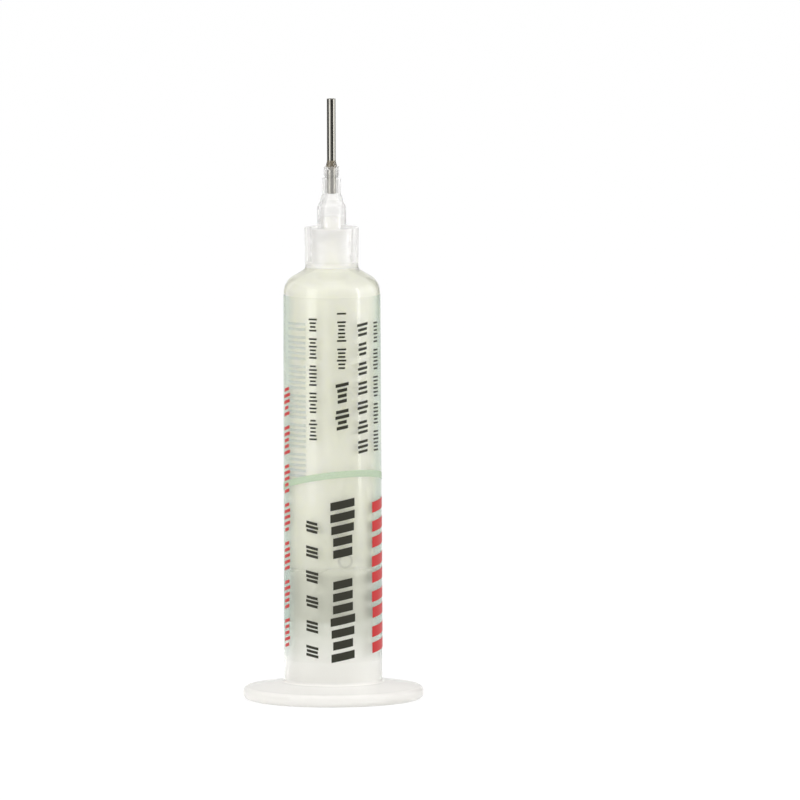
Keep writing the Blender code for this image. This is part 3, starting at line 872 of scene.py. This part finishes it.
class SYRINGE_OT_contents(bpy.types.Operator):
    """Build the flux and the wiper piston behind it"""

    bl_idname = "syringe.contents"
    bl_label = "Build flux and piston"

    def execute(self, context):
        barrel = context.scene.syringe_barrel
        size = context.scene.syringe_contents
        radius = barrel.bore_radius + size.wetting
        neck = barrel.nozzle_bore_radius + size.wetting
        front = PISTON_BOX[0][2] + size.piston_length
        base = PISTON_BOX[1][0] - size.nose_land
        slope = math.tan(SHOULDER_ANGLE)
        throat = barrel.nozzle_bore_radius
        nose = front + (base - throat) * slope
        gap = 0.02 * MM
        profile = [(0.0, nose + gap), (throat, nose + gap)]
        profile += run(profile[-1], (base, front + gap), 6)[1:]
        rim_edge = 0.02 * MM
        profile += [(radius - rim_edge, front + gap), (radius, front + gap + rim_edge)]
        profile += shoulder(barrel, radius, neck)
        meniscus = FLUX_BOX[1][2]
        profile += [(neck, meniscus), (neck * 0.6, meniscus - 0.15 * MM), (0.0, meniscus - 0.2 * MM)]
        flux = turned("flux_fill", profile, BARREL_SEGMENTS)
        bubble = Vector((2.3 * MM, -7.56 * MM, 26.6 * MM))
        bubble_radius = 1.35 * MM
        neck_z = barrel.tube_length + shoulder_height(barrel, radius, neck)
        tints = (size.flux_tint, size.smear_and_shade_tint, size.bare_tint)
        gel = flux_gel(*tints, FLUX_BOX[0][2], neck_z, bubble, bubble_radius)
        settle(flux, None, "flux_paste", gel)
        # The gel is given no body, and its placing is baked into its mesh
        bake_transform(flux)

        rear = PISTON_BOX[0][2]
        lip = PISTON_BOX[1][0]
        waist = lip - size.lip_height
        recess = waist - size.piston_wall
        recess_z = front - size.piston_crown
        recess_top = recess_z + (recess - throat) * slope
        lip_edge = 0.18 * MM
        lip_slope = 0.9 * MM
        lip_foot = 0.2 * MM
        lip_bend = (waist + 0.08 * MM, size.lip_width + lip_slope * 0.85)
        lip_reach = size.lip_width + lip_slope + lip_foot
        profile = [(0.0, recess_top), (throat, recess_top)]
        profile += [(recess - 0.4 * MM, recess_z + 0.1 * MM), (recess, recess_z - 0.4 * MM)]
        profile += arc((recess + lip_edge, rear + lip_edge), lip_edge, 180, 270, 4)
        profile += arc((lip - lip_edge, rear + lip_edge), lip_edge, -90, 0, 4)
        profile += [(lip, rear + size.lip_width), (lip_bend[0], rear + lip_bend[1])]
        profile += [(waist, rear + lip_reach), (waist, front - lip_reach)]
        profile += [(lip_bend[0], front - lip_bend[1]), (lip, front - size.lip_width)]
        profile += arc((lip - rim_edge, front - rim_edge), rim_edge, 0, 90, 4)
        nose_edge = 0.3 * MM
        profile += [(base, front), (throat + nose_edge, nose - nose_edge * slope)]
        profile += [(throat - nose_edge * 0.5, nose), (0.0, nose)]
        piston = turned("wiper_piston", profile, BARREL_SEGMENTS)
        plastic = piston_plastic(size.piston_shade_tint, size.skirt_shade_tint, size.smear_and_shade_tint, rear, front)
        settle(piston, "piston", "piston", plastic)
        return {"FINISHED"}


class SYRINGE_OT_needle(bpy.types.Operator):
    """Build the clear hub with its lugs, the steel tube and the adhesive cone"""

    bl_idname = "syringe.needle"
    bl_label = "Build needle"

    def execute(self, context):
        barrel = context.scene.syringe_barrel
        size = context.scene.syringe_needle
        needle = NEEDLE_BOX[1][0]
        hole = needle - 0.01 * MM
        mouth = nozzle_radius(barrel, HUB_BASE_Z) + size.taper_gap
        skirt = mouth + size.skirt_wall
        neck_z = HUB_TOP_Z - size.neck_length
        waist_z = neck_z - size.waist_length
        body_z = waist_z - size.body_length
        skirt_z = body_z - size.shoulder_height
        socket_top = mouth - NOZZLE_TAPER / 2 * (skirt_z - HUB_BASE_Z)
        lug_rows = 44
        lug_zone = 2.6 * MM
        edge = 0.12 * MM
        skirt_round = 1.3 * MM
        hollow = 0.6 * MM
        profile = [(mouth, HUB_BASE_Z)]
        profile += run((skirt, HUB_BASE_Z), (skirt, HUB_BASE_Z + lug_zone), lug_rows)
        profile += arc((skirt - skirt_round, skirt_z - 0.2 * MM), skirt_round, 0, 48, 8)
        profile += arc((size.body_radius + hollow, body_z + 0.1 * MM), hollow, 225, 180, 5)
        profile += arc((size.body_radius - edge, waist_z - edge), edge, 0, 80, 3)
        profile += [(size.waist_radius, waist_z), (size.waist_radius, neck_z)]
        profile += arc((size.neck_radius - edge, neck_z + edge), edge, -80, 0, 3)
        profile += arc((size.neck_radius - edge, HUB_TOP_Z - edge), edge, 0, 90, 4)
        well_z = HUB_TOP_Z - 0.7 * MM
        profile += [(BOND_BOX[1][0], HUB_TOP_Z), (hole, well_z), (hole, body_z), (socket_top, skirt_z)]
        plastic = clear_plastic(size.hub_tint, collar_rim(barrel), neck_z)
        blank = turned("hub_blank", profile, HUB_SEGMENTS)
        lug_root = 1.2 * MM
        lug_tip = 0.9 * MM
        lug_z = HUB_BASE_Z + lug_root / 2
        lug_arc = math.radians(78)
        thread_play = 0.12 * MM
        lug_radius = max(HUB_BOX[1][0], HUB_BOX[1][1])
        seat_root = 1.1 * MM  # Root of the ridges in the solids, which the lugs seat under
        crest_radius = barrel.collar_bore_radius - barrel.ridge_height
        share = (lug_radius - crest_radius) / barrel.ridge_height
        half_width = (barrel.ridge_crest + (seat_root - barrel.ridge_crest) * share) / 2
        ridge_z = lug_z + lug_tip / 2 + thread_play + half_width
        ridge_start = collar_rim(barrel) - barrel.collar_depth + THREAD_FOOT + seat_root / 2
        start_angle = THREAD_ANGLE + TURN * (ridge_z - ridge_start) / barrel.thread_lead
        apply_tree(blank, helical_tree(), {
            "Wall Radius": skirt,
            "Height": lug_radius - skirt,
            "Lead": barrel.thread_lead,
            "Starts": THREAD_STARTS,
            "Crest Width": lug_tip,
            "Root Width": lug_root,
            "Start Angle": start_angle,
            "Start Height": lug_z,
            "Low End": HUB_BASE_Z - 0.05 * MM,
            "High End": HUB_BASE_Z + lug_zone,
            "End Fade": 0.02 * MM,
            "Arc": lug_arc,
            "Material": plastic,
        })
        settle(made_plain(blank, "clear_hub"), "hub", "needle_hub")

        low, high = NEEDLE_BOX[0][2], NEEDLE_BOX[1][2]
        tip_edge = 0.07 * MM
        profile = [(size.needle_bore_radius, low), (needle, low)]
        profile += run((needle, low), (needle, high - tip_edge), 12)[1:-1]
        profile += arc((needle - tip_edge, high - tip_edge), tip_edge, 0, 90, 4)
        profile += arc((size.needle_bore_radius + tip_edge, high - tip_edge), tip_edge, 90, 180, 4)
        tube = turned("steel_tube", profile, NEEDLE_SEGMENTS)
        settle(tube, "needle", "needle_tube", drawn_steel(size.steel_tint))

        inner = needle + 0.005 * MM
        bond_top = BOND_BOX[1][2]
        bond_radius = BOND_BOX[1][0]
        steps, hollowness = 8, 1.4
        profile = [(inner, HUB_TOP_Z - 0.6 * MM), (bond_radius - 0.02 * MM, HUB_TOP_Z + 0.01 * MM)]
        for step in range(1, steps + 1):
            share = step / steps
            width = (bond_radius - inner) * (1 - share) ** hollowness
            profile.append((inner + width, HUB_TOP_Z + (bond_top - HUB_TOP_Z) * share))
        cone = turned("adhesive_cone", profile, NEEDLE_SEGMENTS, 60)
        settle(cone, "needle", "needle_bond", adhesive(size.adhesive_tint))
        return {"FINISHED"}


class SYRINGE_OT_label(bpy.types.Operator):
    """Wrap the label film round the tube"""

    bl_idname = "syringe.label"
    bl_label = "Build label film"

    def execute(self, context):
        barrel = context.scene.syringe_barrel
        size = context.scene.syringe_label
        low, high = LABEL_BOX[0][2], LABEL_BOX[1][2]
        seam_gap = 2.0 * MM
        seam = seam_gap / film_radius(barrel, low)
        columns, rows = 240, 12
        mesh = bpy.data.meshes.new("label_wrap")
        verts, faces = [], []
        for layer in (FILM_GAP, FILM_GAP + FILM_THICKNESS):
            for row in range(rows + 1):
                height = low + (high - low) * row / rows
                radius = film_radius(barrel, height) + layer
                for column in range(columns + 1):
                    angle = seam / 2 + (TURN - seam) * column / columns
                    verts.append((radius * math.sin(angle), radius * math.cos(angle), height))
        layer_size = (rows + 1) * (columns + 1)
        for row in range(rows):
            for column in range(columns):
                at = row * (columns + 1) + column
                inner = (at, at + 1, at + columns + 2, at + columns + 1)
                faces += [inner, tuple(corner + layer_size for corner in reversed(inner))]
        edge = [row * (columns + 1) for row in range(rows + 1)]
        edge += [rows * (columns + 1) + column for column in range(1, columns + 1)]
        edge += [row * (columns + 1) + columns for row in reversed(range(rows))]
        edge += list(range(columns - 1, 0, -1))
        for here, after in zip(edge, edge[1:] + edge[:1]):
            faces.append((here, after, after + layer_size, here + layer_size))
        mesh.from_pydata(verts, [], faces)
        film = finished("label_wrap", mesh)
        made = label_material(size.film_tint, size.side_shade_tint, low)
        settle(film, "barrel", "label_film", made)
        return {"FINISHED"}


class SYRINGE_OT_print(bpy.types.Operator):
    """Print generic strokes, bands and a scale on the label film"""

    bl_idname = "syringe.print"
    bl_label = "Build print"

    def execute(self, context):
        size = context.scene.syringe_label
        black = ink("black_ink", size.black_tint, 1.0)
        red = ink("red_ink", size.red_tint, 1.0)
        mint = ink("mint_ink", size.mint_tint, 0.5)
        blue = ink("pale_blue_ink", size.blue_tint, 0.16)
        # Lengths in millimetres and angles in degrees
        columns = (
            "Stroke", "Gap", "Group", "Group Gap", "Shortest", "Count", "Row Height", "Angle",
            "Foot", "Slant", "Arc",
        )
        rows = (
            ("small_print_left", black, 0.34, 0.36, 6, 0.9, 0.62, 28, 1.7, -23, 49.6, 0.0, 0.0),
            ("small_print_middle", black, 0.34, 0.36, 6, 0.9, 0.62, 13, 1.8, 11.5, 63.0, 0.0, 0.0),
            ("small_print_bold", black, 0.62, 0.4, 4, 0.9, 0.62, 8, 2.7, 12, 51.8, 0.2, 0.0),
            ("small_print_right", black, 0.5, 0.42, 3, 0.9, 0.62, 21, 2.6, 39, 47.2, 0.15, 0.0),
            ("small_print_edge", black, 0.34, 0.36, 6, 0.9, 0.62, 30, 2.0, 63, 47.2, 0.0, 0.0),
            ("block_row", black, 0.52, 0.24, 3, 2.4, 0.86, 18, 2.6, -25, 8.9, -0.2, 0.0),
            ("headline", black, 1.55, 0.72, 7, 3.6, 0.76, 12, 4.8, 12, 8.8, 0.2, 0.0),
            ("red_headline", red, 2.0, 1.0, 2, 0.6, 0.9, 9, 6.4, 72, 10.4, 0.12, 0.0),
            ("red_line", red, 0.6, 0.55, 5, 1.5, 0.6, 35, 3.0, -69, 10.4, 0.25, 0.0),
            ("scale_ticks", blue, 0.5, 0.5, 5, 0.5, 1.0, 27, 5.0, -48, 42.6, 0.0, 0.0),
            ("mint_band", mint, 1.25, 0.4, 1, 0.0, 1.0, 1, 54.0, 0, 40.9, 0.0, 2.2),
        )
        for number, (name, cover, *row) in enumerate(rows):
            self.print_row(context, name, cover, dict(zip(columns, row)), size.seed + number)
        return {"FINISHED"}

    def print_row(self, context, name, cover, row, seed):
        """Make one row of strokes in an ink."""
        barrel = context.scene.syringe_barrel
        ink_thickness = context.scene.syringe_label.ink_thickness
        film = FILM_GAP + FILM_THICKNESS + ink_thickness / 2 + INK_GAP
        taper = (barrel.top_wall - barrel.foot_wall) / (barrel.tube_length - barrel.flange_thickness)
        values = {
            **row,
            "Seed": seed,
            "Angle": math.radians(row["Angle"]),
            "Film Radius": film_radius(barrel, 0.0) + film,
            "Film Taper": taper,
            "Thickness": ink_thickness,
            "Material": cover,
        }
        for key in ("Stroke", "Gap", "Group Gap", "Row Height", "Foot", "Arc"):
            values[key] = row[key] * MM
        blank = linked(name, bpy.data.meshes.new(name))
        apply_tree(blank, stroke_tree(), values)
        settle(made_plain(blank, name), "barrel", None)


class SYRINGE_OT_stage(bpy.types.Operator):
    """Set the floor, lamps, reflector cards, world and camera"""

    bl_idname = "syringe.stage"
    bl_label = "Build stage"

    def execute(self, context):
        size = context.scene.syringe_stage
        self.floor()
        self.world(context)
        self.cards()
        self.lamps()
        self.camera(context, size)
        context.scene.view_settings.view_transform = "Standard"
        return {"FINISHED"}

    def seen_white(self, bench):
        """1 for rays that should meet a plain white studio."""
        path = bench.add("ShaderNodeLightPath").outputs
        seen = bench.calc("MAXIMUM", path["Is Camera Ray"], path["Is Glossy Ray"])
        return bench.calc("MAXIMUM", seen, path["Is Transmission Ray"])

    def floor(self):
        half, drop = 6.0, 0.05 * MM
        mesh = bpy.data.meshes.new("studio_floor")
        corners = [(-half, -half), (half, -half), (half, half), (-half, half)]
        mesh.from_pydata([(x, y, -drop) for x, y in corners], [], [(0, 1, 2, 3)])
        made, bench, shader = new_material("studio_floor")
        paper = {"Base Color": (0.8, 0.8, 0.8, 1.0), "Roughness": 1.0, "Specular IOR Level": 0.0}
        bench.dress(shader, paper)
        soft = bench.add("ShaderNodeBsdfDiffuse")
        bench.feed(soft.inputs["Color"], (0.22, 0.22, 0.22, 1.0))
        glow = bench.add("ShaderNodeEmission")
        bench.feed(glow.inputs["Strength"], 0.80)
        both = bench.add("ShaderNodeAddShader")
        bench.feed(both.inputs[0], soft.outputs[0])
        bench.feed(both.inputs[1], glow.outputs[0])
        bench.either(self.seen_white(bench), shader, both, "Material Output")
        mesh.materials.append(made)
        floor = linked("studio_floor", mesh)

    def world(self, context):
        world = bpy.data.worlds.new("studio")
        context.scene.world = world
        world.use_nodes = True
        bench = Bench(world.node_tree)
        light = world.node_tree.nodes["Background"]
        bench.dress(light, {"Color": (1.0, 1.0, 1.0, 1.0), "Strength": 0.9})
        white = bench.add("ShaderNodeBackground")
        bench.feed(white.inputs["Strength"], 1.0)
        bench.either(self.seen_white(bench), light, white, "World Output")

    def cards(self):
        """Upright cards, dark, grey and glowing, that only reflections see."""
        dark = self.card_material("dark_card", 0.04, 0.0)
        grey = self.card_material("grey_card", 0.4, 0.0)
        bright = self.card_material("bright_card", 0.0, 1.7)
        distance, foot, top = 0.7, -0.04, 0.5
        cards = (
            ("card_front", -7.0, 49.0, dark),
            ("card_left", -125.0, -58.0, dark),
            ("card_back_left", -160.0, -142.0, grey),
            ("card_right", 76.0, 122.0, bright),
            ("card_back_right", 134.0, 160.0, dark),
        )
        for name, start, end, made in cards:
            verts = []
            for angle in (start, end):
                turn = math.radians(angle)
                for height in (foot, top):
                    verts.append((distance * math.sin(turn), -distance * math.cos(turn), height))
            mesh = bpy.data.meshes.new(name)
            mesh.from_pydata(verts, [], [(0, 2, 3, 1)])
            mesh.materials.append(made)
            card = linked(name, mesh)
            for ray in ("camera", "diffuse", "transmission", "shadow"):
                setattr(card, "visible_" + ray, False)

    def card_material(self, name, grey, glow):
        made, bench, shader = new_material(name)
        bench.dress(shader, {
            "Base Color": (grey, grey, grey, 1.0),
            "Roughness": 1.0,
            "Emission Color": (1.0, 1.0, 1.0, 1.0),
            "Emission Strength": glow,
        })
        return made

    def lamps(self):
        self.lamp("key_left", azimuth=-50, elevation=14, distance=0.32, size=(0.15, 0.26), power=0.225)
        self.lamp("strip_right", azimuth=67, elevation=14, distance=0.32, size=(0.05, 0.26), power=0.17)
        self.lamp("top", azimuth=10, elevation=75, distance=0.9, size=(0.6, 0.6), power=0.7)

    def lamp(self, name, azimuth, elevation, distance, size, power):
        """A rectangular lamp that shines on the middle of the tube from two angles in degrees."""
        data = bpy.data.lights.new(name, "AREA")
        data.shape = "RECTANGLE"
        data.size, data.size_y = size
        data.energy = power
        turn, rise = math.radians(azimuth), math.radians(elevation)
        aim = Vector((0.0, 0.0, TUBE_MIDDLE))
        flat = math.cos(rise)
        out = Vector((math.sin(turn) * flat, -math.cos(turn) * flat, math.sin(rise)))
        lamp = linked(name, data)
        lamp.location = aim + out * distance
        lamp.rotation_euler = (-out).to_track_quat("-Z", "Y").to_euler()
        lamp.visible_camera = False

    def camera(self, context, size):
        data = bpy.data.cameras.new("camera")
        camera = linked("camera", data)
        context.scene.camera = camera
        scale = size.photo_scale / MM
        rise = size.elevation
        view_width = size.photo_size / scale
        data.lens = data.sensor_width * size.distance / view_width
        middle = size.photo_size / 2
        aim = Vector((
            (middle - size.axis_pixel) / scale,
            0.0,
            (size.foot_pixel - middle) / (scale * math.cos(rise)),
        ))
        back = Vector((0.0, -math.cos(rise), math.sin(rise)))
        camera.location = aim + back * size.distance
        turned_to = (-back).to_track_quat("-Z", "Y").to_euler()
        turned_to.rotate_axis("Z", size.roll)
        camera.rotation_euler = turned_to
        data.clip_start = 0.05
        data.clip_end = 20.0


class SYRINGE_PT_build(bpy.types.Panel):
    """Lists the steps that build the syringe"""

    bl_label = "Flux syringe"
    bl_idname = "SYRINGE_PT_build"
    bl_space_type = "VIEW_3D"
    bl_region_type = "UI"
    bl_category = "Syringe"

    def draw(self, context):
        for operator in OPERATORS:
            self.layout.operator(operator.bl_idname)


OPERATORS = (
    SYRINGE_OT_barrel,
    SYRINGE_OT_contents,
    SYRINGE_OT_needle,
    SYRINGE_OT_label,
    SYRINGE_OT_print,
    SYRINGE_OT_stage,
)


def register():
    for group in GROUPS.values():
        bpy.utils.register_class(group)
    for operator in OPERATORS:
        bpy.utils.register_class(operator)
    bpy.utils.register_class(SYRINGE_PT_build)
    for name, group in GROUPS.items():
        setattr(bpy.types.Scene, name, PointerProperty(type=group))


def unregister():
    for name in GROUPS:
        delattr(bpy.types.Scene, name)
    bpy.utils.unregister_class(SYRINGE_PT_build)
    for operator in reversed(OPERATORS):
        bpy.utils.unregister_class(operator)
    for group in reversed(GROUPS.values()):
        bpy.utils.unregister_class(group)


def main():
    register()
    bpy.ops.syringe.barrel()
    bpy.ops.syringe.contents()
    bpy.ops.syringe.needle()
    bpy.ops.syringe.label()
    bpy.ops.syringe.print()
    bpy.ops.syringe.stage()


if __name__ == "__main__":
    main()
